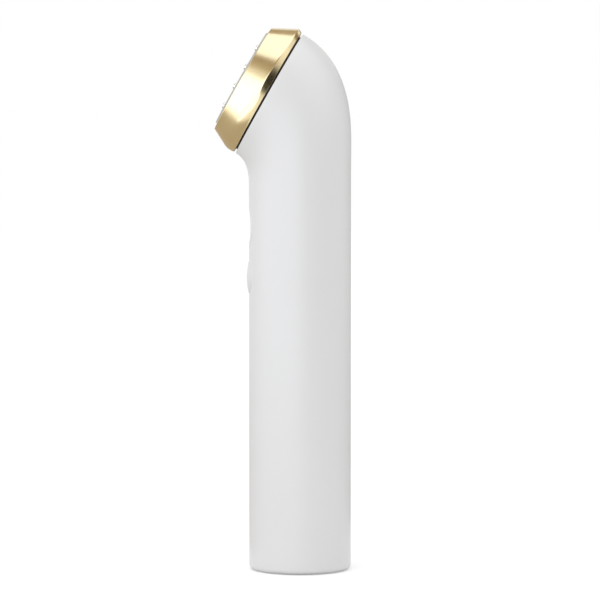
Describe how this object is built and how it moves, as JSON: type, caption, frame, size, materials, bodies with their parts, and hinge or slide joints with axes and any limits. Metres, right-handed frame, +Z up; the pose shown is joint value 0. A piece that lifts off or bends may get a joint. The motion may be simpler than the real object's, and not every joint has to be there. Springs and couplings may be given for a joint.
{
  "type": "facial toning wand",
  "caption": "Hand-held facial toning wand: a round grip that leans into an oval head, with a gold ring, a face plate of small electrodes and sprung push buttons.",
  "frame": {"origin": "middle of the foot pad's underside, on the axis of the round grip", "axes": "+Z up the grip, -Y the front, where the head faces and the buttons are, X across; the wand is mirrored about X = 0"},
  "size_m": [0.0348, 0.0448, 0.1781],
  "materials": {
    "housing_white": "seamless moulded shell, soft satin sheen",
    "base_white": "moulded cap, soft satin sheen",
    "button_white": "moulded cap, satin",
    "foot_silicone": "matte silicone",
    "ring_gold": "mirror-bright gold plating",
    "gasket_dark": "matte silicone",
    "plate_white": "glossy moulded plate",
    "electrode_plate": "bright plated studs",
    "seal_foam": "thin bonding foam",
    "carrier_plastic": "glass-filled moulding",
    "chassis_plastic": "glass-filled moulding",
    "guide_plastic": "acetal moulding",
    "board_green": "solder-masked laminate",
    "chip_black": "moulded package",
    "plunger_brown": "moulded plunger",
    "can_aluminium": "drawn can",
    "ferrite": "sintered core",
    "winding_tape": "taped winding",
    "steel": "bright steel",
    "cell_sleeve": "shrink sleeve on a steel can",
    "nickel": "nickel strip",
    "pad_foam": "closed-cell foam",
    "cable_grey": "flat ribbon",
    "plug_cream": "moulded connector",
    "bead_epoxy": "epoxy bead"
  },
  "bodies": {
    "wand": {"main_housing": "housing_white", "base_cap": "base_white", "foot_pad": "foot_silicone", "base_screws": "steel", "power_switch": "chip_black", "level_switch": "chip_black", "button_guide": "guide_plastic", "main_board": "board_green", "board_screws": "steel", "controller_chip": "chip_black", "charger_chip": "chip_black", "boost_coil": "ferrite", "storage_capacitors": "can_aluminium", "driver_transistors": "chip_black", "transformer_core": "ferrite", "transformer_winding": "winding_tape", "vibration_motor": "steel", "usb_shell": "steel", "usb_tongue": "chip_black", "head_plug": "plug_cream", "ribbon_cable": "cable_grey", "chassis": "chassis_plastic", "battery_cell": "cell_sleeve", "battery_tabs": "nickel", "battery_pads": "pad_foam", "gold_ring": "ring_gold", "ring_gasket": "gasket_dark", "head_carrier": "carrier_plastic", "carrier_screws": "steel", "face_plate": "plate_white", "face_seal": "seal_foam", "electrodes": "electrode_plate", "electrode_board": "board_green", "temperature_sensor": "bead_epoxy"},
    "power_button": {"power_button": "button_white", "power_plunger": "plunger_brown"},
    "level_button": {"level_button": "button_white", "level_plunger": "plunger_brown"}
  },
  "joints": [
    {"name": "power_press", "type": "slide", "parent": "wand", "child": "power_button", "axis": [0, 1, 0], "range_m": [0, 0.0005], "stiffness_N_per_m": 2400, "springref_m": -0.0003},
    {"name": "level_press", "type": "slide", "parent": "wand", "child": "level_button", "axis": [0, 1, 0], "range_m": [0, 0.0005], "stiffness_N_per_m": 2400, "springref_m": -0.0003}
  ]
}
